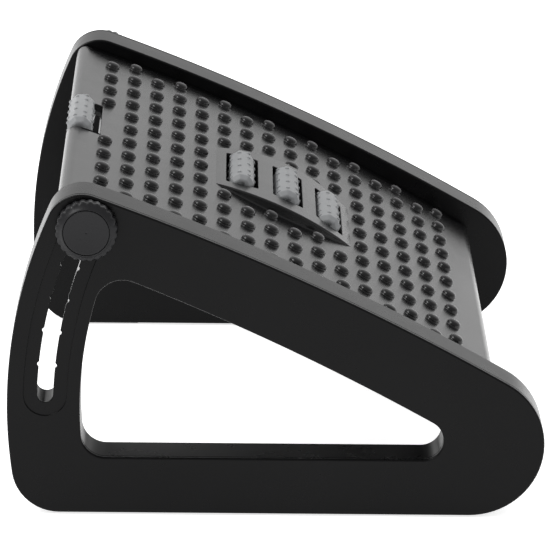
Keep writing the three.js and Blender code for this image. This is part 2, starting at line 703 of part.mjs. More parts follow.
function metal(color, roughness) {
  return new THREE.MeshStandardMaterial({ color, roughness, metalness: 1 });
}

const board = new THREE.Group();

function addPart(name, solid, material) {
  const mesh = new THREE.Mesh(toGeometry(solid), material);
  mesh.name = name;
  board.add(mesh);
}

for (const [label, side] of [["near", -1], ["far", 1]]) {
  addPart(`side_shell_${label}`, sideShell(side), plastic(0x1b1b1d, 0.42));
  addPart(`side_cover_${label}`, sideCover(side), plastic(0x1b1b1d, 0.42));
  addPart(`foot_pad_rear_${label}`, footPad(side, PAD_X[0]), plastic(0x111111, 0.85));
  addPart(`foot_pad_front_${label}`, footPad(side, PAD_X[1]), plastic(0x111111, 0.85));
  addPart(`pivot_nut_${label}`, pivotNut(side), metal(0xa8a8aa, 0.35));
  addPart(`pivot_bush_${label}`, pivotBush(side), plastic(0xd8d5cc, 0.5));
  addPart(`thread_insert_${label}`, threadInsert(side), metal(0xb5953f, 0.35));
  addPart(`clamp_washer_${label}`, clampWasher(side), plastic(0x222224, 0.5));
  addPart(`clamp_knob_${label}`, knob(side), plastic(0x1e1e20, 0.45));
  addPart(`knob_cap_${label}`, knobCap(side), plastic(0x1a1a1c, 0.35));
  addPart(`clamp_bolt_${label}`, clampBolt(side), metal(0xa8a8aa, 0.35));
}
addPart("pivot_rod", pivotRod(), metal(0xa8a8aa, 0.35));
addPart("foot_platform", footPlatform(), plastic(0x202023, 0.3));
["rear_pad", "mid_pad", "front_pad", "rear_edge"].forEach((label, index) => {
  addPart(`roller_${label}`, roller(ROLLERS[index]), plastic(0xb9bbbd, 0.5));
  addPart(`roller_axle_${label}`, rollerAxle(ROLLERS[index]), metal(0xb0b0b2, 0.3));
});

export default board;
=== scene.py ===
import math

import bmesh
import bpy
import numpy as np
from mathutils import Matrix, Vector
from mathutils.geometry import delaunay_2d_cdt

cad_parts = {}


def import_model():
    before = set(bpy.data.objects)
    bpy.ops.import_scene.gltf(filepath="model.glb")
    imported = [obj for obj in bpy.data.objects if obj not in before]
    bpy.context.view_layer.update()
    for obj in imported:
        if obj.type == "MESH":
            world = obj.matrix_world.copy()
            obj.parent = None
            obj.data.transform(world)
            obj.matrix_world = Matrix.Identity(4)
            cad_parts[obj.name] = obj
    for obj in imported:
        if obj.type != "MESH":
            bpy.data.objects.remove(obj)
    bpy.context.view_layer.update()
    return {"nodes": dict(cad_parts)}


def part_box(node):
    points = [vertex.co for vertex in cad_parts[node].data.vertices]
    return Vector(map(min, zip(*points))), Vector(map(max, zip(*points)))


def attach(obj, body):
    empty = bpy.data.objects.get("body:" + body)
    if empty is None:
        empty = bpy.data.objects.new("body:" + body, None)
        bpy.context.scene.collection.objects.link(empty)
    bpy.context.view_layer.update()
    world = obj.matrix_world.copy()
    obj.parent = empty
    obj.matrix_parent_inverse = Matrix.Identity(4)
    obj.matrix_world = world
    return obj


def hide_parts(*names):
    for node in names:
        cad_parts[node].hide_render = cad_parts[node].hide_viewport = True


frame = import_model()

# Sizes are in millimetres, as on the part's drawing; MM turns them into the scene's metres.
MM = 0.001
DEGREE = math.pi / 180
SIDES = (("near", -1), ("far", 1))

# ---------------------------------------------------------------- plane geometry


def polar(centre, radius, angle):
    return (centre[0] + radius * math.cos(angle), centre[1] + radius * math.sin(angle))


def direction(start, end):
    return math.atan2(end[1] - start[1], end[0] - start[0])


def meet(a, distance_a, b, distance_b):
    """The point at two distances from a and b, on the left of the line from a to b."""
    span = math.dist(a, b)
    along = (distance_a**2 - distance_b**2 + span**2) / (2 * span)
    aside = math.sqrt(distance_a**2 - along**2)
    heading = direction(a, b)
    return polar(polar(a, along, heading), aside, heading + math.pi / 2)


def arc(centre, radius, start, end, steps):
    return [polar(centre, radius, start + (end - start) * i / steps) for i in range(steps + 1)]


def normals_of(points):
    """Outward normals of a closed outline that runs anticlockwise."""
    p = np.asarray(points, dtype=float)
    edge = np.roll(p, -1, axis=0) - p
    edge /= np.linalg.norm(edge, axis=1)[:, None]
    out = np.stack([edge[:, 1], -edge[:, 0]], axis=1)
    both = out + np.roll(out, 1, axis=0)
    both /= np.linalg.norm(both, axis=1)[:, None]
    stretch = np.einsum("ij,ij->i", both, out)
    return both / np.maximum(stretch, 0.5)[:, None]


def offset(points, distance):
    return np.asarray(points, dtype=float) + normals_of(points) * distance


def circle(centre, radius, steps, turn=0.0):
    return [polar(centre, radius, turn + 2 * math.pi * i / steps) for i in range(steps)]


def rounded_box(half_u, half_y, radius, steps=5):
    """A rounded rectangle about the origin, anticlockwise."""
    points = []
    corners = ((1, 1, 0), (-1, 1, 1), (-1, -1, 2), (1, -1, 3))
    for su, sy, quarter in corners:
        centre = (su * (half_u - radius), sy * (half_y - radius))
        start = quarter * math.pi / 2
        points += arc(centre, radius, start, start + math.pi / 2, steps)
    return points


def odd_crossings(points, corners, edges):
    """Whether each point has an odd number of the outlines' edges to its right."""
    a = corners[edges[:, 0]]
    b = corners[edges[:, 1]]
    inside = np.zeros(len(points), dtype=bool)
    for start in range(0, len(points), 1000):
        p = points[start:start + 1000]
        spans = (a[None, :, 1] > p[:, None, 1]) != (b[None, :, 1] > p[:, None, 1])
        rise = np.where(b[:, 1] == a[:, 1], 1.0, b[:, 1] - a[:, 1])
        cross = a[:, 0] + (p[:, None, 1] - a[:, 1]) / rise * (b[:, 0] - a[:, 0])
        inside[start:start + 1000] = (spans & (cross > p[:, None, 0])).sum(axis=1) % 2 == 1
    return inside


# ---------------------------------------------------------------- mesh building


class Solid:
    """Vertices and faces in millimetres, gathered ring by ring."""

    def __init__(self):
        self.verts = []
        self.faces = []
        self.tags = {}

    def ring(self, points3d):
        start = len(self.verts)
        self.verts.extend(tuple(float(c) for c in p) for p in points3d)
        return list(range(start, len(self.verts)))

    def outline(self, points, y):
        """A ring of XZ points at one height across the board."""
        return self.ring([(p[0], y, p[1]) for p in points])

    def strip(self, a, b, closed=True):
        count = len(a)
        for i in range(count if closed else count - 1):
            j = (i + 1) % count
            self.faces.append((a[i], a[j], b[j], b[i]))

    def fan(self, ring, centre):
        tip = self.ring([centre])[0]
        count = len(ring)
        for i in range(count):
            self.faces.append((ring[i], ring[(i + 1) % count], tip))

    def fill(self, rings, plan, free=()):
        """Fills the area inside the first ring and outside the others.

        plan maps a vertex to its place in the plane; free are more vertices inside.
        """
        index = [i for ring in rings for i in ring] + list(free)
        points = [Vector(plan(self.verts[i])) for i in index]
        edges = []
        start = 0
        for ring in rings:
            count = len(ring)
            edges += [(start + k, start + (k + 1) % count) for k in range(count)]
            start += count
        coords, _, faces, origin, _, _ = delaunay_2d_cdt(points, edges, [], 1, 1e-6)
        back = [index[o[0]] if o else None for o in origin]
        spots = np.array([(p.x, p.y) for p in points])
        middles = np.array([np.mean([(coords[v].x, coords[v].y) for v in face], axis=0) for face in faces])
        for face, kept in zip(faces, odd_crossings(middles, spots, np.array(edges))):
            corners = [back[v] for v in face]
            if kept and None not in corners and len(set(corners)) == len(corners):
                self.faces.append(tuple(corners))

    def tagged(self, tag, fill):
        """Runs a fill and marks its faces as part of a round surface."""
        mark = len(self.faces)
        fill()
        for i in range(mark, len(self.faces)):
            self.tags[i] = tag

    def piece(self, name, body, material, replaced=(), centres=None, welded=0.002):
        """Makes the object. centres gives the axis of each tagged round surface."""
        mesh = bpy.data.meshes.new(name)
        mesh.from_pydata([tuple(c * MM for c in v) for v in self.verts], [], self.faces)
        work = bmesh.new()
        work.from_mesh(mesh)
        work.faces.ensure_lookup_table()
        layer = work.faces.layers.int.new("tag")
        for i, tag in self.tags.items():
            work.faces[i][layer] = tag
        bmesh.ops.remove_doubles(work, verts=work.verts, dist=welded * MM)
        bmesh.ops.recalc_face_normals(work, faces=work.faces)
        if work.calc_volume(signed=True) < 0:
            bmesh.ops.reverse_faces(work, faces=work.faces)
        for f in work.faces:
            f.smooth = True
        tags = [f[layer] for f in work.faces]
        work.faces.layers.int.remove(layer)
        work.to_mesh(mesh)
        work.free()
        if centres:
            mesh.set_sharp_from_angle(angle=50 * DEGREE)
            custom = [(0.0, 0.0, 0.0)] * len(mesh.loops)
            for polygon, tag in zip(mesh.polygons, tags):
                for i in polygon.loop_indices if tag else ():
                    spot = mesh.vertices[mesh.loops[i].vertex_index].co
                    out = Vector((spot.x - centres[tag][0] * MM, 0.0, spot.z - centres[tag][1] * MM))
                    custom[i] = tuple(out.normalized())
            mesh.normals_split_custom_set(custom)
        obj = bpy.data.objects.new(name, mesh)
        bpy.context.scene.collection.objects.link(obj)
        mesh.materials.append(material)
        if not centres:
            modifier = obj.modifiers.new("normals", "WEIGHTED_NORMAL")
            modifier.mode = "FACE_AREA"
            modifier.keep_sharp = True
        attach(obj, body)
        if replaced:
            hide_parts(*replaced)
        return obj


def flat_plan(vertex):
    return (vertex[0], vertex[2])


def quarter(radius, steps=4):
    """How a rounded edge runs: (inset, depth) from the flat face to the wall."""
    turns = [i * math.pi / 2 / steps for i in range(steps + 1)]
    return [(radius * (1 - math.sin(t)), radius * (1 - math.cos(t))) for t in turns]


def prism(solid, points, y_low, y_high, edge):
    """A solid outline pushed across the board, with rounded edges."""
    rings = []
    for inset, depth in quarter(edge):
        rings.append(solid.outline(offset(points, -inset), y_low + depth))
    for inset, depth in reversed(quarter(edge)):
        rings.append(solid.outline(offset(points, -inset), y_high - depth))
    for a, b in zip(rings, rings[1:]):
        solid.strip(a, b)
    solid.fill([rings[0]], flat_plan)
    solid.fill([rings[-1]], flat_plan)

# ---------------------------------------------------------------- materials


class Surface:
    """A node material: principled shader with procedural variation."""

    def __init__(self, name, color, roughness, **values):
        self.material = bpy.data.materials.new(name)
        self.material.use_nodes = True
        self.nodes = self.material.node_tree.nodes
        self.links = self.material.node_tree.links
        self.shader = self.nodes["Principled BSDF"]
        self.shader.inputs["Base Color"].default_value = (*color, 1)
        self.shader.inputs["Roughness"].default_value = roughness
        for key, value in values.items():
            self.shader.inputs[key.replace("_", " ")].default_value = value
        self.where = self.nodes.new("ShaderNodeTexCoord").outputs["Object"]
        self.height = None

    def noise(self, scale, detail=3.0, rough=0.55, stretch=None):
        source = self.where
        if stretch:
            mapping = self.nodes.new("ShaderNodeMapping")
            mapping.inputs["Scale"].default_value = stretch
            self.links.new(source, mapping.inputs["Vector"])
            source = mapping.outputs["Vector"]
        node = self.nodes.new("ShaderNodeTexNoise")
        node.inputs["Scale"].default_value = scale
        node.inputs["Detail"].default_value = detail
        node.inputs["Roughness"].default_value = rough
        self.links.new(source, node.inputs["Vector"])
        return node.outputs["Fac"]

    def spread(self, value, low, high, socket, start=0.3, end=0.7):
        """Maps a 0 to 1 value between two numbers or colours on a shader socket."""
        if isinstance(low, tuple):
            node = self.nodes.new("ShaderNodeValToRGB")
            node.color_ramp.elements[0].position = start
            node.color_ramp.elements[1].position = end
            node.color_ramp.elements[0].color = (*low, 1)
            node.color_ramp.elements[1].color = (*high, 1)
            self.links.new(value, node.inputs["Fac"])
            self.links.new(node.outputs["Color"], self.shader.inputs[socket])
            return
        node = self.nodes.new("ShaderNodeMapRange")
        node.inputs["From Min"].default_value = start
        node.inputs["From Max"].default_value = end
        node.inputs["To Min"].default_value = low
        node.inputs["To Max"].default_value = high
        self.links.new(value, node.inputs["Value"])
        self.links.new(node.outputs["Result"], self.shader.inputs[socket])

    def bump(self, value, distance, strength=1.0):
        node = self.nodes.new("ShaderNodeBump")
        node.inputs["Distance"].default_value = distance
        node.inputs["Strength"].default_value = strength
        self.links.new(value, node.inputs["Height"])
        if self.height:
            self.links.new(self.height, node.inputs["Normal"])
        self.height = node.outputs["Normal"]
        self.links.new(self.height, self.shader.inputs["Normal"])


def moulded(name, dark, light, roughness, grain=0.00002, ior=1.27):
    """Moulded plastic: fine grain, slow tone change, slightly uneven gloss."""
    surface = Surface(name, light, roughness, IOR=ior)
    surface.spread(surface.noise(9.0, 2.0), dark, light, "Base Color")
    surface.spread(surface.noise(38.0, 4.0), roughness * 0.93, roughness * 1.07, "Roughness")
    surface.bump(surface.noise(1800.0, 2.0, 0.7), grain, 0.35)
    surface.bump(surface.noise(14.0, 2.0), 0.00012, 0.12)
    return surface.material


def metal(name, color, roughness, grain):
    surface = Surface(name, color, roughness, Metallic=1.0)
    surface.spread(surface.noise(220.0, 3.0, stretch=grain), roughness * 0.8, roughness * 1.25, "Roughness")
    surface.spread(surface.noise(60.0, 2.0), tuple(c * 0.9 for c in color), color, "Base Color")
    surface.bump(surface.noise(900.0, 2.0, stretch=grain), 0.00002, 0.3)
    return surface.material


FRAME = moulded("frame_plastic", (0.0020, 0.0020, 0.0022), (0.0028, 0.0028, 0.0030), 0.28, ior=1.20)
PLATFORM = moulded("platform_plastic", (0.005, 0.005, 0.0053), (0.0065, 0.0065, 0.0068), 0.24, ior=1.36)
KNOB = moulded("knob_plastic", (0.008, 0.008, 0.009), (0.011, 0.011, 0.012), 0.34, grain=0.00004)
CAP = moulded("cap_plastic", (0.007, 0.007, 0.008), (0.010, 0.010, 0.011), 0.27)
ROLLER = moulded("roller_plastic", (0.20, 0.205, 0.21), (0.26, 0.265, 0.27), 0.42, grain=0.00004)
RUBBER = moulded("pad_rubber", (0.006, 0.006, 0.006), (0.010, 0.010, 0.010), 0.78, grain=0.00012)
NYLON = moulded("bush_nylon", (0.60, 0.58, 0.52), (0.70, 0.68, 0.62), 0.45)
STEEL = metal("zinc_steel", (0.60, 0.60, 0.61), 0.32, (1.0, 0.15, 1.0))
BRASS = metal("insert_brass", (0.66, 0.50, 0.22), 0.34, (1.0, 0.15, 1.0))

# ---------------------------------------------------------------- the board's outlines

GAP = 0.3
OUTER_FACE = 222.0
INNER_FACE = 189.5
COVER_INNER = 218.5
SHELL_OUTER = COVER_INNER - GAP
WALL = 3.5
SHELL_FLOOR = INNER_FACE + WALL
FLOOR_Z = 1.5
REAR_RADIUS = 335.0
REAR_CENTRE = (154.2, 75.5)
TOP_RADIUS = 1758.0
LOW_END_RADIUS = 50.0
LOW_END_CENTRE = (130.8, 51.5)
HIGH_CORNER_RADIUS = 24.0
FOOT_CORNER_RADIUS = 32.0
HIGH_CORNER_CENTRE = polar(REAR_CENTRE, REAR_RADIUS - HIGH_CORNER_RADIUS, 156.2 * DEGREE)
TOP_CENTRE = meet(
    LOW_END_CENTRE, TOP_RADIUS - LOW_END_RADIUS, HIGH_CORNER_CENTRE, TOP_RADIUS - HIGH_CORNER_RADIUS
)
REAR_ARM_WIDTH = 49.0
TOP_BAR_DEPTH = 46.0
FLOOR_BAR_DEPTH = 39.5
WINDOW_FOOT_RADIUS = 17.0
WINDOW_LOW_RADIUS = 14.0
WINDOW_HIGH_RADIUS = 19.0
WINDOW_TOP_CENTRE = (TOP_CENTRE[0] - 19.5, TOP_CENTRE[1] + 7.75)
PIVOT = (140.2, 76.4)
SLOT_RADIUS = 295.4
SLOT_TOP_ANGLE = 154.8 * DEGREE
SETTING_STEP = 4.6 * DEGREE
SETTINGS = 6
SLOT_RUN_ON = 0.5 * DEGREE
SLOT_LOW_ANGLE = SLOT_TOP_ANGLE + (SETTINGS - 1) * SETTING_STEP + SLOT_RUN_ON
SLOT_HALF_WIDTH = 5.4
SHELL_SLOT_HALF_WIDTH = 7.0
NOTCH_RADIUS = 2.0
NOTCH_DEPTH = 1.2
NOTCH_LEAD = 1.05 * DEGREE
TRACK_HALF_WIDTH = 14.6
TRACK_DEPTH = 1.0
BOLT_AXIS = polar(PIVOT, SLOT_RADIUS, SLOT_TOP_ANGLE)


def frame_ring(rear, top, floor, foot, low, high, top_centre=TOP_CENTRE):
    """A curved rear, a flat floor, a round low end, a convex top and a round high corner."""
    foot_z = floor + foot
    foot_x = REAR_CENTRE[0] - math.sqrt((rear - foot) ** 2 - (foot_z - REAR_CENTRE[1]) ** 2)
    low_z = floor + low
    low_x = top_centre[0] + math.sqrt((top - low) ** 2 - (low_z - top_centre[1]) ** 2)
    high_centre = meet(top_centre, top - high, REAR_CENTRE, rear - high)
    rear_start = direction(REAR_CENTRE, high_centre)
    rear_end = direction(REAR_CENTRE, (foot_x, foot_z)) + 2 * math.pi
    top_start = direction(top_centre, (low_x, low_z))
    top_end = direction(top_centre, high_centre)
    points = arc(REAR_CENTRE, rear, rear_start, rear_end, 56)[:-1]
    points += arc((foot_x, foot_z), foot, rear_end, 1.5 * math.pi, 12)
    points += arc((low_x, low_z), low, 1.5 * math.pi, top_start + 2 * math.pi, 30)[:-1]
    points += arc(top_centre, top, top_start, top_end, 60)[:-1]
    points += arc(high_centre, high, top_end, rear_start, 16)[:-1]
    return points


def frame_outline():
    return frame_ring(
        REAR_RADIUS, TOP_RADIUS, FLOOR_Z, FOOT_CORNER_RADIUS, LOW_END_RADIUS, HIGH_CORNER_RADIUS
    )


def window_outline():
    return frame_ring(
        REAR_RADIUS - REAR_ARM_WIDTH,
        TOP_RADIUS - TOP_BAR_DEPTH,
        FLOOR_Z + FLOOR_BAR_DEPTH,
        WINDOW_FOOT_RADIUS,
        WINDOW_LOW_RADIUS,
        WINDOW_HIGH_RADIUS,
        WINDOW_TOP_CENTRE,
    )


def slot_outline(half_width, notched=False, steps=240):
    """The curved slot about the pivot; notched adds small bites a little below the settings."""

    def half(angle):
        if not notched:
            return half_width
        reach = half_width
        for i in range(SETTINGS - 1):
            away = SLOT_RADIUS * (angle - SLOT_TOP_ANGLE - i * SETTING_STEP - NOTCH_LEAD)
            if abs(away) < NOTCH_RADIUS:
                bulge = NOTCH_DEPTH - NOTCH_RADIUS + math.sqrt(NOTCH_RADIUS**2 - away**2)
                reach = max(reach, half_width + bulge)
        return reach

    points = []
    sweep = SLOT_LOW_ANGLE - SLOT_TOP_ANGLE
    angles = [SLOT_TOP_ANGLE + sweep * i / steps for i in range(steps + 1)]
    low = polar(PIVOT, SLOT_RADIUS, SLOT_LOW_ANGLE)
    top = polar(PIVOT, SLOT_RADIUS, SLOT_TOP_ANGLE)
    points += [polar(PIVOT, SLOT_RADIUS + half(a), a) for a in angles]
    points += arc(low, half_width, SLOT_LOW_ANGLE, SLOT_LOW_ANGLE + math.pi, 14)[1:-1]
    points += [polar(PIVOT, SLOT_RADIUS - half(a), a) for a in reversed(angles)]
    points += arc(top, half_width, SLOT_TOP_ANGLE + math.pi, SLOT_TOP_ANGLE + 2 * math.pi, 14)[1:-1]
    return points


# ---------------------------------------------------------------- side frames

EDGE = 1.3
SEAM_EDGE = 0.45
ROD_BORE_RADIUS = 4.3
FLOOR_STRIP_HALF_LENGTH = 23.0
FLOOR_STRIP_HALF_HEIGHT = 1.25
FLOOR_STRIP_SIDES = (193.85, 213.85)


def profile_rings(solid, points, profile, side):
    """Sweeps (offset, distance from the middle plane) along an outline and returns the rings."""
    rings = [solid.outline(offset(points, out), side * y) for out, y in profile]
    for a, b in zip(rings, rings[1:]):
        solid.strip(a, b)
    return rings


def side_shell(label, side):
    solid = Solid()
    outside = [(-i, INNER_FACE + d) for i, d in quarter(EDGE)]
    outside += [(-i, SHELL_OUTER - d) for i, d in reversed(quarter(SEAM_EDGE, 3))]
    outside += [(-WALL, SHELL_OUTER), (-WALL, SHELL_FLOOR)]
    inside = [(-out, y) for out, y in outside]
    outer = profile_rings(solid, frame_outline(), outside, side)
    window = profile_rings(solid, window_outline(), inside, side)
    slot = profile_rings(solid, slot_outline(SHELL_SLOT_HALF_WIDTH), inside, side)
    bore_profile = [(i, INNER_FACE + d) for i, d in quarter(0.5, 3)] + [(0.0, SHELL_FLOOR)]
    bore = profile_rings(solid, circle(PIVOT, ROD_BORE_RADIUS, 32), bore_profile, side)
    solid.fill([outer[0], window[0], slot[0], bore[0]], flat_plan)
    solid.fill([outer[-1], window[-1], slot[-1], bore[-1]], flat_plan)
    return solid.piece(
        f"frame_shell_{label}", "frame", FRAME, [f"side_shell_{label}"]
    )


def side_cover(label, side):
    solid = Solid()
    outside = [(-i, OUTER_FACE - d) for i, d in quarter(EDGE, 5)]
    outside += [(-i, COVER_INNER + d) for i, d in reversed(quarter(SEAM_EDGE, 3))]
    inside = [(-out, y) for out, y in outside]
    outer = profile_rings(solid, frame_outline(), outside, side)
    window = profile_rings(solid, window_outline(), inside, side)
    recess = OUTER_FACE - TRACK_DEPTH
    track_profile = [(i, OUTER_FACE - d) for i, d in quarter(0.5, 3)]
    track_profile += [(0.0, recess + 0.3), (-0.1, recess + 0.09), (-0.3, recess)]
    track = profile_rings(solid, slot_outline(TRACK_HALF_WIDTH), track_profile, side)
    slot_profile = [(i, recess - d) for i, d in quarter(0.4, 3)]
    slot_profile += [(i, COVER_INNER + d) for i, d in reversed(quarter(0.3, 2))]
    slot = profile_rings(solid, slot_outline(SLOT_HALF_WIDTH, True), slot_profile, side)
    solid.fill([outer[0], window[0], track[0]], flat_plan)
    solid.fill([track[-1], slot[0]], flat_plan)
    solid.fill([outer[-1], window[-1], slot[-1]], flat_plan)
    return solid.piece(
        f"frame_cover_{label}", "frame", FRAME, [f"side_cover_{label}"]
    )


def foot_pad(label, side, end, x):
    """A rubber strip with rounded edges."""
    solid = Solid()
    points = rounded_box(FLOOR_STRIP_HALF_LENGTH, FLOOR_STRIP_HALF_HEIGHT, 0.7)
    points = [(x + u, FLOOR_STRIP_HALF_HEIGHT + z) for u, z in points]
    y = sorted(side * edge for edge in FLOOR_STRIP_SIDES)
    prism(solid, points, y[0], y[1], 0.6)
    return solid.piece(
        f"floor_strip_{end}_{label}", "frame", RUBBER, [f"foot_pad_{end}_{label}"]
    )


for label, side in SIDES:
    side_shell(label, side)
    side_cover(label, side)
    foot_pad(label, side, "rear", -124.0)
    foot_pad(label, side, "front", 112.0)

# ---------------------------------------------------------------- platform: the curved surface

HALF_WIDTH = 187.5
SURFACE_RADIUS = 1453.0
PLATE_THICKNESS = 5.0
BARREL_RADIUS = 9.3
BOLT_DEPTH = 13.5
LIP_RADIUS = 7.0
LIP_REACH = 16.6
FIRST_COLUMN_SETBACK = 2.7
COLUMNS = 16
COLUMN_PITCH = 18.05
STUD_PITCH = 33.55
SURFACE_CENTRE = meet(PIVOT, SURFACE_RADIUS - BARREL_RADIUS, BOLT_AXIS, SURFACE_RADIUS - BOLT_DEPTH)
BOLT_DIRECTION = direction(SURFACE_CENTRE, BOLT_AXIS)
FRONT_ANGLE = direction(SURFACE_CENTRE, PIVOT)
FIRST_COLUMN_ANGLE = BOLT_DIRECTION - FIRST_COLUMN_SETBACK / SURFACE_RADIUS
LIP_ANGLE = BOLT_DIRECTION + LIP_REACH / SURFACE_RADIUS
LIP_U = -(LIP_REACH + FIRST_COLUMN_SETBACK)
FRONT_U = (FIRST_COLUMN_ANGLE - FRONT_ANGLE) * SURFACE_RADIUS


def surface_angle(u):
    """u is the way along the surface from the first stud column towards the front."""
    return FIRST_COLUMN_ANGLE - u / SURFACE_RADIUS


def on_surface(u, y, height=0.0):
    x, z = polar(SURFACE_CENTRE, SURFACE_RADIUS + height, surface_angle(u))
    return (x, y, z)


def surface_plan(vertex):
    angle = direction(SURFACE_CENTRE, (vertex[0], vertex[2]))
    return ((FIRST_COLUMN_ANGLE - angle) * SURFACE_RADIUS, vertex[1])


# The raised pad's own frame: x along the surface from its middle, z out of the surface.
PAD_COLUMN = 7.58
MIDDLE_ANGLE = surface_angle(PAD_COLUMN * COLUMN_PITCH)
PAD_HALF_LENGTH = 53.0
PAD_HEIGHT = 7.5
PAD_END_HALF_WIDTH = 46.0
PAD_BOW = 12.0
PAD_RISE = PAD_HEIGHT + SURFACE_RADIUS - math.sqrt(SURFACE_RADIUS**2 - PAD_HALF_LENGTH**2)
PAD_RADIUS = (PAD_HALF_LENGTH**2 + PAD_RISE**2) / (2 * PAD_RISE)
PAD_CENTRE = polar(SURFACE_CENTRE, SURFACE_RADIUS + PAD_HEIGHT - PAD_RADIUS, MIDDLE_ANGLE)


def pad_frame(x, y, level):
    """A point at x along the pad, y across, at a level measured from the surface's centre."""
    ahead = polar((0.0, 0.0), x, MIDDLE_ANGLE - math.pi / 2)
    out = polar(SURFACE_CENTRE, level, MIDDLE_ANGLE)
    return (out[0] + ahead[0], y, out[1] + ahead[1])


def surface_level(x):
    return math.sqrt(SURFACE_RADIUS**2 - x**2)


def pad_level(x):
    return math.sqrt(PAD_RADIUS**2 - x**2) + SURFACE_RADIUS + PAD_HEIGHT - PAD_RADIUS


def pad_plan(vertex):
    angle = direction(PAD_CENTRE, (vertex[0], vertex[2]))
    return ((MIDDLE_ANGLE - angle) * PAD_RADIUS, vertex[1])


def pad_rings(solid):
    """The pad's outline, ring by ring, from its rounded top edge down to the surface."""
    steps = 36
    ends = 8
    samples = []
    for i in range(steps + 1):
        t = -1 + 2 * i / steps
        samples.append((t, 1.0))
    for i in range(1, ends):
        samples.append((1.0, 1 - 2 * i / ends))
    for i in range(steps + 1):
        samples.append((1 - 2 * i / steps, -1.0))
    for i in range(1, ends):
        samples.append((-1.0, -1 + 2 * i / ends))
    edge = ((-1.3, 0.0, 0), (-0.65, 0.11, 0), (-0.2, 0.5, 0), (0.0, 1.3, 0))
    foot = ((0.0, 1.3, 1), (0.25, 0.5, 1), (0.7, 0.13, 1), (1.4, 0.0, 1))
    rings = []
    for out, drop, low in edge + foot:
        points = []
        for t, across in samples:
            x = t * PAD_HALF_LENGTH
            half = PAD_END_HALF_WIDTH + PAD_BOW * (1 - t * t)
            height = pad_level(x) - surface_level(x)
            k = min(1.0, max(0.0, height) / 2.8)
            slope = -2 * PAD_BOW * t / PAD_HALF_LENGTH
            length = math.hypot(1.0, slope)
            shift_x = -slope / length * out * k
            shift_y = out * k / length
            px = x + shift_x
            py = across * (half + (shift_y if abs(across) == 1.0 else 0.0))
            level = surface_level(px) + drop * k if low else pad_level(px) - drop * k
            if k < 1e-6:
                level = surface_level(px)
            points.append(pad_frame(px, py, level))
        rings.append(solid.ring(points))
    for a, b in zip(rings, rings[1:]):
        solid.strip(a, b)
    return rings


# ---------------------------------------------------------------- platform: rollers' places

ROLLER_NAMES = ("rear_pad", "mid_pad", "front_pad", "rear_edge")
OPENING_HALF_LENGTH = 11.6
OPENING_HALF_WIDTH = 36.0
NOTCH_FRONT = 14.4
WELL_WALL = 2.0
WELL_DEPTH = 14.0
WELL_FLOOR_DEPTH = 12.0


def node_axis(node):
    low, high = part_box(node)
    return ((low[0] + high[0]) / 2 / MM, (low[2] + high[2]) / 2 / MM)


ROLLER_AXES = {name: node_axis(f"roller_axle_{name}") for name in ROLLER_NAMES}


def facing(name):
    centre = SURFACE_CENTRE if name == "rear_edge" else PAD_CENTRE
    return direction(centre, ROLLER_AXES[name])


def roller_frame(name, along, y, out):
    """A point in a roller's frame: along the surface, across, and out of the platform."""
    axis = ROLLER_AXES[name]
    turn = facing(name)
    base = polar(polar(axis, along, turn - math.pi / 2), out, turn)
    return (base[0], y, base[1])


def reach_circle(name, along, centre, radius):
    """How far out of the roller's axis a line meets a circle about the given centre."""
    foot = roller_frame(name, along, 0.0, 0.0)
    turn = facing(name)
    dx, dz = foot[0] - centre[0], foot[2] - centre[1]
    b = dx * math.cos(turn) + dz * math.sin(turn)
    c = dx * dx + dz * dz - radius * radius
    return -b + math.sqrt(b * b - c)


def roller_plan(name):
    """Reads a vertex as (along, across) in a roller's own frame."""
    axis = ROLLER_AXES[name]
    turn = facing(name) - math.pi / 2

    def plan(vertex):
        dx, dz = vertex[0] - axis[0], vertex[2] - axis[1]
        return (dx * math.cos(turn) + dz * math.sin(turn), vertex[1])

    return plan


def opening_rings(solid, name):
    """Returns the ring on the pad's top and the ring on the plate's underside."""
    plan = rounded_box(OPENING_HALF_LENGTH, OPENING_HALF_WIDTH, 1.6)
    rings = []
    for inset, depth in ((-0.6, 0.0), (-0.25, 0.1), (-0.06, 0.3), (0.0, 0.7)):
        grown = offset(plan, -inset)
        points = []
        for p in grown:
            top = reach_circle(name, p[0], PAD_CENTRE, PAD_RADIUS)
            points.append(roller_frame(name, p[0], p[1], top - depth))
        rings.append(solid.ring(points))
    rings.append(solid.ring([roller_frame(name, p[0], p[1], -WELL_FLOOR_DEPTH) for p in plan]))
    inside = rings[:]
    rings = [solid.ring([
        roller_frame(name, p[0], p[1], -WELL_DEPTH) for p in offset(plan, WELL_WALL)
    ])]
    points = []
    for p in offset(plan, WELL_WALL):
        under = reach_circle(name, p[0], SURFACE_CENTRE, SURFACE_RADIUS - PLATE_THICKNESS)
        points.append(roller_frame(name, p[0], p[1], under))
    rings.append(solid.ring(points))
    for group in (inside, rings):
        for a, b in zip(group, group[1:]):
            solid.strip(a, b)
    well_plan = roller_plan(name)
    solid.fill([inside[-1]], well_plan)
    solid.fill([rings[0]], well_plan)
    return inside[0], rings[-1]


# ---------------------------------------------------------------- platform: skin

STUD_PROFILE = (
    (5.9, 0.0), (5.45, 0.06), (5.22, 0.25), (5.12, 0.7), (5.05, 1.3), (4.86, 2.0),
    (4.45, 2.7), (3.8, 3.28), (2.9, 3.7), (1.8, 3.95), (0.8, 4.05),
)
STUD_STEPS = 24
STUD_HEIGHT = 4.08
SIDE_EDGE = 1.4
NOTCH_EDGE = 0.6


def stud_places():
    for column in range(COLUMNS):
        count = 10 if column % 2 == 0 else 11
        for i in range(count):
            across = i - (count - 1) / 2
            by_roller = column == 0 and abs(across) < 1
            on_pad = 5 <= column <= 10 and abs(across) < 2
            if not by_roller and not on_pad:
                yield column * COLUMN_PITCH, across * STUD_PITCH


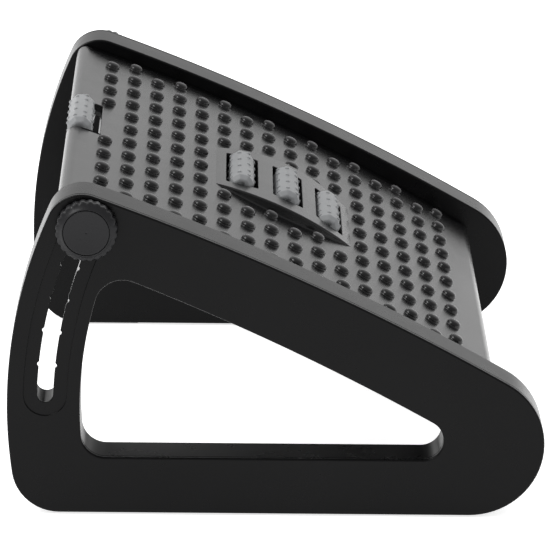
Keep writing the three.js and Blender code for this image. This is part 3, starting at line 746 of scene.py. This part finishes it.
def stud(solid, u, y):
    rings = []
    for radius, height in STUD_PROFILE:
        points = []
        for i in range(STUD_STEPS):
            turn = 2 * math.pi * i / STUD_STEPS
            points.append(on_surface(u + radius * math.cos(turn), y + radius * math.sin(turn), height))
        rings.append(solid.ring(points))
    for a, b in zip(rings, rings[1:]):
        solid.strip(a, b)
    solid.fan(rings[-1], on_surface(u, y, STUD_HEIGHT))
    return rings[0]


def evenly(start, end, step):
    count = max(1, round(abs(end - start) / step))
    return [start + (end - start) * i / count for i in range(count + 1)]


def skin_boundary(notch_u):
    """Points round the plate as (u, y, du, dy, edge radius): the way out and how round it is."""
    inner_y = HALF_WIDTH - SIDE_EDGE
    side_u = evenly(LIP_U, FRONT_U, 8.0)
    wing_y = evenly(OPENING_HALF_WIDTH + NOTCH_EDGE, inner_y, 9.0)
    notch_y = evenly(-OPENING_HALF_WIDTH - NOTCH_EDGE, OPENING_HALF_WIDTH + NOTCH_EDGE, 8.0)
    depth_u = evenly(LIP_U, notch_u + NOTCH_EDGE, 3.0)
    points = [(u, -inner_y, 0, -1, SIDE_EDGE) for u in side_u]
    points += [(FRONT_U, y, 0, 0, 0.0) for y in evenly(-inner_y, inner_y, 9.0)[1:-1]]
    points += [(u, inner_y, 0, 1, SIDE_EDGE) for u in reversed(side_u)]
    points += [(LIP_U, y, 0, 0, 0.0) for y in reversed(wing_y[1:-1])]
    half = OPENING_HALF_WIDTH + NOTCH_EDGE
    points += [(u, half, 0, -1, NOTCH_EDGE) for u in depth_u[:-1]]
    points += [(depth_u[-1], half, -1, -1, NOTCH_EDGE)]
    points += [(depth_u[-1], y, -1, 0, NOTCH_EDGE) for y in reversed(notch_y[1:-1])]
    points += [(depth_u[-1], -half, -1, 1, NOTCH_EDGE)]
    points += [(u, -half, 0, 1, NOTCH_EDGE) for u in reversed(depth_u[:-1])]
    points += [(LIP_U, -y, 0, 0, 0.0) for y in wing_y[1:-1]]
    return points


def platform_skin():
    """The plate with its studs, raised pad, roller wells and rounded side edges."""
    solid = Solid()
    notch_u = surface_plan(roller_frame("rear_edge", NOTCH_FRONT, 0.0, 0.0))[0]
    boundary = skin_boundary(notch_u)
    rings = []
    for inset, drop in reversed(quarter(1.0, 4)):
        out = 1.0 - inset
        rings.append(solid.ring([
            on_surface(u + du * out * r, y + dy * out * r, -drop * r) for u, y, du, dy, r in boundary
        ]))
    rings.append(solid.ring([
        on_surface(u + du * r, y + dy * r, -PLATE_THICKNESS) for u, y, du, dy, r in boundary
    ]))
    for a, b in zip(rings, rings[1:]):
        solid.strip(a, b)
    studs = [stud(solid, u, y) for u, y in stud_places()]
    pad = pad_rings(solid)
    openings = [opening_rings(solid, name) for name in ROLLER_NAMES[:3]]
    grid = []
    for u in evenly(LIP_U, FRONT_U, 17.0)[1:-1]:
        for y in evenly(-HALF_WIDTH, HALF_WIDTH, 25.0)[1:-1]:
            near_pad = abs(u - PAD_COLUMN * COLUMN_PITCH) < 60 and abs(y) < 66
            near_notch = u < notch_u + 8 and abs(y) < OPENING_HALF_WIDTH + 6
            near_stud = any(math.hypot(u - su, y - sy) < 8.0 for su, sy in stud_places())
            if not (near_pad or near_notch or near_stud):
                grid += solid.ring([on_surface(u, y)])
    solid.tagged(1, lambda: solid.fill([rings[0], pad[-1]] + studs, surface_plan, grid))
    solid.tagged(2, lambda: solid.fill([pad[0]] + [o[0] for o in openings], pad_plan))
    solid.fill([rings[-1]] + [o[1] for o in openings], surface_plan)
    centres = {1: SURFACE_CENTRE, 2: PAD_CENTRE}
    return solid.piece(
        "platform_skin", "platform", PLATFORM, ["foot_platform"], centres=centres
    )


# ---------------------------------------------------------------- platform: edges and underside

SKIRT_DEPTH = 17.0
SKIRT_THICKNESS = 4.0
RIB_DEPTH = 15.0
RIB_THICKNESS = 3.0
LONG_RIBS = (-125.0, -66.0, 66.0, 125.0)
CROSS_RIB_COLUMNS = (3.5, 11.5, 14.0)
BOSS_RADIUS = 11.4
BOSS_LENGTH = 40.0
SUNK_IN_PLATE = 2.5


def band(start, end, depth_top, depth_low, steps):
    """A strip that follows the surface from one depth to another, anticlockwise."""
    points = arc(SURFACE_CENTRE, SURFACE_RADIUS - depth_low, start, end, steps)
    points += arc(SURFACE_CENTRE, SURFACE_RADIUS - depth_top, end, start, steps)
    return points[::-1]


def platform_edges():
    """The rear lip on both sides of its roller, and the front barrel, left solid round the rod."""
    solid = Solid()
    lip_centre = polar(SURFACE_CENTRE, SURFACE_RADIUS - LIP_RADIUS, LIP_ANGLE)
    for side in (-1, 1):
        low, high = sorted((side * OPENING_HALF_WIDTH, side * HALF_WIDTH))
        prism(solid, circle(lip_centre, LIP_RADIUS, 48, LIP_ANGLE), low, high, 1.0)
    prism(solid, circle(PIVOT, BARREL_RADIUS, 56, FRONT_ANGLE), -HALF_WIDTH, HALF_WIDTH, SIDE_EDGE)
    return solid.piece("platform_edges", "platform", PLATFORM, ["foot_platform"])


def platform_underside():
    """Skirts, ribs and the bosses of the clamp bolts; left solid where the rod and bolts pass."""
    solid = Solid()
    hidden = PLATE_THICKNESS - SUNK_IN_PLATE
    for y in LONG_RIBS:
        outline = band(LIP_ANGLE, FRONT_ANGLE, hidden, RIB_DEPTH, 40)
        prism(solid, outline, y - RIB_THICKNESS / 2, y + RIB_THICKNESS / 2, 0.6)
    for side in (-1, 1):
        outer = HALF_WIDTH - 0.05
        low, high = sorted((side * (outer - SKIRT_THICKNESS), side * outer))
        prism(solid, band(LIP_ANGLE, FRONT_ANGLE, hidden, SKIRT_DEPTH, 40), low, high, 0.7)
        low, high = sorted((side * (outer - BOSS_LENGTH), side * outer))
        prism(solid, circle(BOLT_AXIS, BOSS_RADIUS, 48), low, high, 0.8)
    half = RIB_THICKNESS / 2 / SURFACE_RADIUS
    for column in CROSS_RIB_COLUMNS:
        angle = surface_angle(column * COLUMN_PITCH)
        outline = band(angle + half, angle - half, hidden, RIB_DEPTH - 2, 1)
        prism(solid, outline, -HALF_WIDTH + 1, HALF_WIDTH - 1, 0.6)
    return solid.piece("platform_ribs", "platform", PLATFORM, ["foot_platform"])


platform_skin()
platform_edges()
platform_underside()

# ---------------------------------------------------------------- massage rollers

ROLLER_HALF_LENGTH = 33.5
ROLLER_CORNER_RADIUS = 9.3
ROLLER_END_RADIUS = 6.3
ROLLER_TAPER = 3.4
ROLLER_FACETS = 8
NUB_REACH = 9.9
NUB_RADIUS = 1.45
ROLLER_TURNS = {"rear_pad": 0.5, "mid_pad": 0.42, "front_pad": 0.6}
EDGE_ROLLER_START = 112.5 * DEGREE


def octagon(radius, turn):
    """An eight-sided outline with small round corners, as (angle, radius) pairs."""
    soften = 0.9 * DEGREE * 3
    points = []
    for i in range(ROLLER_FACETS):
        angle = turn + i * 2 * math.pi / ROLLER_FACETS
        points += [(angle - 2 * soften, None), (angle - soften, 0.4), (angle, 1.0)]
        points += [(angle + soften, 0.4), (angle + 2 * soften, None)]
    flat = radius * math.cos(math.pi / ROLLER_FACETS)
    outline = []
    for angle, weight in points:
        half = math.pi / ROLLER_FACETS
        away = (angle - turn + half) % (2 * math.pi / ROLLER_FACETS) - half
        sharp = flat / math.cos(math.pi / ROLLER_FACETS - abs(away))
        cut = 0.0 if weight is None else 0.22 * weight
        outline.append((angle, sharp - cut * radius / 9.0))
    return outline


def nub(solid, name, y, turn):
    """A small dome that stands on a roller's facet edge."""
    base_radius = ROLLER_CORNER_RADIUS - 0.9
    rings = []
    for radius, height in ((1.0, 0.0), (0.99, 0.45), (0.9, 0.72), (0.68, 0.9), (0.36, 0.985)):
        points = []
        for i in range(12):
            a = 2 * math.pi * i / 12
            side = radius * NUB_RADIUS * math.cos(a)
            along = radius * NUB_RADIUS * math.sin(a)
            out = base_radius + height * (NUB_REACH - base_radius)
            axis = ROLLER_AXES[name]
            base = polar(polar(axis, out, turn), side, turn - math.pi / 2)
            points.append((base[0], y + along, base[1]))
        rings.append(solid.ring(points))
    for a, b in zip(rings, rings[1:]):
        solid.strip(a, b)
    top = polar(ROLLER_AXES[name], NUB_REACH, turn)
    bottom = polar(ROLLER_AXES[name], base_radius, turn)
    solid.fan(rings[-1], (top[0], y, top[1]))
    solid.fan(rings[0], (bottom[0], y, bottom[1]))


def roller(name, body):
    solid = Solid()
    axis = ROLLER_AXES[name]
    if name == "rear_edge":
        start = EDGE_ROLLER_START
    else:
        start = facing(name) + ROLLER_TURNS[name] * 2 * math.pi / ROLLER_FACETS
    stations = [(-1, 0.0, 2.1), (-1, 0.0, 5.4), (-1, 0.25, ROLLER_END_RADIUS)]
    stations += [(-1, 0.7, ROLLER_END_RADIUS + 0.55)]
    stations += [(-1, ROLLER_TAPER - 0.6, ROLLER_CORNER_RADIUS - 0.45)]
    stations += [(-1, ROLLER_TAPER, ROLLER_CORNER_RADIUS - 0.06)]
    stations += [(-1, ROLLER_TAPER + 0.7, ROLLER_CORNER_RADIUS)]
    stations += [(1, inset, radius) for _, inset, radius in reversed(stations)]
    rings = []
    for end, inset, radius in stations:
        y = end * (ROLLER_HALF_LENGTH - inset)
        rings.append(solid.ring([
            (axis[0] + r * math.cos(a), y, axis[1] + r * math.sin(a)) for a, r in octagon(radius, start)
        ]))
    for a, b in zip(rings, rings[1:]):
        solid.strip(a, b)
    solid.strip(rings[-1], rings[0])
    for i in range(ROLLER_FACETS):
        turn = start + i * 2 * math.pi / ROLLER_FACETS
        places = (-24.6, -8.2, 8.2, 24.6) if i % 2 == 0 else (-27.6, -16.4, 0.0, 16.4, 27.6)
        for y in places:
            nub(solid, name, y, turn)
    return solid.piece(f"massage_roller_{name}", body, ROLLER, [f"roller_{name}"])


ROLLER_BODIES = ("pad_roller_rear", "pad_roller_middle", "pad_roller_front", "edge_roller")
for name, body in zip(ROLLER_NAMES, ROLLER_BODIES):
    roller(name, body)

# ---------------------------------------------------------------- clamp knobs

KNOB_RADIUS = 20.6
KNOB_LOBES = 24
LOBE_DEPTH = 0.8
KNOB_INNER = 222.9
KNOB_OUTER = 233.7
DISC_RADIUS = 15.3
DISC_INNER = 232.15
BOLT_CLEARANCE_RADIUS = 4.4


def turned(solid, profile, centre, side, steps, lobes=0):
    """Turns (radius, distance from the middle plane, lobe share) about the bolt's axis."""
    rings = []
    for radius, y, share in profile:
        points = []
        for i in range(steps):
            a = 2 * math.pi * i / steps
            valley = (0.5 + 0.5 * math.cos(lobes * a)) ** 2.2 if lobes else 0.0
            r = radius - LOBE_DEPTH * share * valley
            points.append((centre[0] + r * math.cos(a), side * y, centre[1] + r * math.sin(a)))
        rings.append(solid.ring(points))
    for a, b in zip(rings, rings[1:]):
        solid.strip(a, b)
    return rings


def clamp_knob(label, side):
    solid = Solid()
    profile = [
        (BOLT_CLEARANCE_RADIUS, KNOB_INNER, 0.0), (18.6, KNOB_INNER, 0.0), (19.8, KNOB_INNER + 0.12, 0.4),
        (20.35, KNOB_INNER + 0.5, 0.8), (KNOB_RADIUS, KNOB_INNER + 1.2, 1.0),
        (KNOB_RADIUS, KNOB_INNER + 6.6, 1.0), (20.45, KNOB_INNER + 7.2, 0.95),
        (20.1, KNOB_INNER + 7.7, 0.8), (19.5, KNOB_INNER + 8.1, 0.5), (18.8, KNOB_INNER + 8.45, 0.1),
        (17.7, KNOB_INNER + 9.2, 0.0), (16.7, KNOB_INNER + 10.1, 0.0), (16.2, KNOB_OUTER - 0.15, 0.0),
        (15.95, KNOB_OUTER, 0.0), (15.7, KNOB_OUTER - 0.08, 0.0), (15.6, KNOB_OUTER - 0.35, 0.0),
        (15.6, KNOB_OUTER - 1.9, 0.0), (BOLT_CLEARANCE_RADIUS, KNOB_OUTER - 1.9, 0.0),
    ]
    rings = turned(solid, profile, BOLT_AXIS, side, KNOB_LOBES * 10, KNOB_LOBES)
    solid.strip(rings[-1], rings[0])
    return solid.piece(f"knob_{label}", f"knob_{label}", KNOB, [f"clamp_knob_{label}"])


def knob_disc(label, side):
    """The cap that closes the knob: slightly dished, with a rounded rim."""
    solid = Solid()
    profile = [
        (0.02, DISC_INNER, 0), (DISC_RADIUS - 0.3, DISC_INNER, 0), (DISC_RADIUS, 232.4, 0),
        (DISC_RADIUS, KNOB_OUTER - 0.45, 0), (DISC_RADIUS - 0.12, KNOB_OUTER - 0.13, 0),
        (DISC_RADIUS - 0.45, KNOB_OUTER, 0), (DISC_RADIUS - 0.9, KNOB_OUTER - 0.03, 0),
    ]
    for i in range(1, 13):
        t = i / 12
        radius = (DISC_RADIUS - 0.9) * (1 - t) + 0.02 * t
        profile.append((radius, KNOB_OUTER - 0.03 - 0.75 * math.sin(t * math.pi / 2), 0))
    rings = turned(solid, profile, BOLT_AXIS, side, 96)
    solid.strip(rings[-1], rings[0])
    return solid.piece(f"knob_disc_{label}", f"knob_{label}", CAP, [f"knob_cap_{label}"])


def washer(label, side):
    solid = Solid()
    inner = OUTER_FACE - TRACK_DEPTH + GAP
    outer = inner + 1.3
    profile = [
        (BOLT_CLEARANCE_RADIUS, inner - 16.0, 0), (4.75, inner - 16.0, 0),
        (5.0, inner - 15.75, 0), (5.0, inner, 0),
        (13.5, inner, 0), (13.85, inner + 0.12, 0), (14.0, inner + 0.4, 0), (14.0, outer - 0.4, 0),
        (13.85, outer - 0.12, 0), (13.5, outer, 0), (BOLT_CLEARANCE_RADIUS, outer, 0),
    ]
    rings = turned(solid, profile, BOLT_AXIS, side, 72)
    solid.strip(rings[-1], rings[0])
    return solid.piece(f"washer_{label}", f"clamp_{label}", KNOB, [f"clamp_washer_{label}"])


for label, side in SIDES:
    clamp_knob(label, side)
    knob_disc(label, side)
    washer(label, side)

# ---------------------------------------------------------------- kept CAD nodes

KEPT = {"pivot_rod": STEEL}
for label, _ in SIDES:
    KEPT[f"pivot_nut_{label}"] = STEEL
    KEPT[f"pivot_bush_{label}"] = NYLON
    KEPT[f"thread_insert_{label}"] = BRASS
    KEPT[f"clamp_bolt_{label}"] = STEEL
for name in ROLLER_NAMES:
    KEPT[f"roller_axle_{name}"] = STEEL
for node, material in KEPT.items():
    frame["nodes"][node].data.materials.clear()
    frame["nodes"][node].data.materials.append(material)

# ---------------------------------------------------------------- floor, light and camera


def floor():
    mesh = bpy.data.meshes.new("floor")
    reach = 40.0
    corners = [(-reach, -reach, 0), (reach, -reach, 0), (reach, reach, 0), (-reach, reach, 0)]
    mesh.from_pydata(corners, [], [(0, 1, 2, 3)])
    obj = bpy.data.objects.new("floor", mesh)
    bpy.context.scene.collection.objects.link(obj)
    surface = Surface("floor_paper", (0.9, 0.9, 0.9), 0.9)
    surface.spread(surface.noise(0.8, 2.0), (0.89, 0.89, 0.89), (0.91, 0.91, 0.91), "Base Color")
    surface.shader.inputs["Specular IOR Level"].default_value = 0.0
    surface.shader.inputs["Emission Color"].default_value = (1, 1, 1, 1)
    surface.shader.inputs["Emission Strength"].default_value = 0.75
    mesh.materials.append(surface.material)


def world(front, back):
    """Soft light from all round, brighter from behind the board than from in front of it."""
    sky = bpy.data.worlds.new("studio")
    bpy.context.scene.world = sky
    sky.use_nodes = True
    nodes = sky.node_tree.nodes
    links = sky.node_tree.links
    where = nodes.new("ShaderNodeTexCoord")
    split = nodes.new("ShaderNodeSeparateXYZ")
    links.new(where.outputs["Generated"], split.inputs["Vector"])
    ramp = nodes.new("ShaderNodeMapRange")
    ramp.inputs["From Min"].default_value = -0.6
    ramp.inputs["From Max"].default_value = 0.6
    ramp.inputs["To Min"].default_value = front
    ramp.inputs["To Max"].default_value = back
    ramp.interpolation_type = "SMOOTHSTEP"
    links.new(split.outputs["Y"], ramp.inputs["Value"])
    nodes["Background"].inputs["Color"].default_value = (1, 1, 1, 1)
    links.new(ramp.outputs["Result"], nodes["Background"].inputs["Strength"])


def area_light(name, place, target, size, power):
    data = bpy.data.lights.new(name, "AREA")
    data.shape = "RECTANGLE"
    data.size, data.size_y = size
    data.energy = power
    lamp = bpy.data.objects.new(name, data)
    lamp.location = place
    lamp.rotation_euler = (Vector(target) - Vector(place)).to_track_quat("-Z", "Y").to_euler()
    bpy.context.scene.collection.objects.link(lamp)


bpy.context.scene.view_settings.view_transform = "Standard"
floor()
world(0.6, 1.15)
area_light("key", (-1.6, -0.6, 2.2), (0.0, 0.0, 0.1), (1.2, 1.2), 42.0)

LENS_LENGTH = 280.3
CAMERA_PLACE = (-0.03957, -2.9325, 1.0255)
CAMERA_PAN = -0.0138
CAMERA_TILT = -0.3054
CAMERA_ROLL = -0.0133
lens = bpy.data.cameras.new("camera")
lens.sensor_width = 36.0
lens.lens = LENS_LENGTH
lens.clip_end = 200.0
camera = bpy.data.objects.new("camera", lens)
turn = (
    Matrix.Rotation(CAMERA_PAN, 4, "Z")
    @ Matrix.Rotation(CAMERA_TILT, 4, "X")
    @ Matrix.Rotation(CAMERA_ROLL, 4, "Y")
    @ Matrix.Rotation(math.pi / 2, 4, "X")
)
camera.matrix_world = Matrix.Translation(CAMERA_PLACE) @ turn
bpy.context.scene.collection.objects.link(camera)
bpy.context.scene.camera = camera
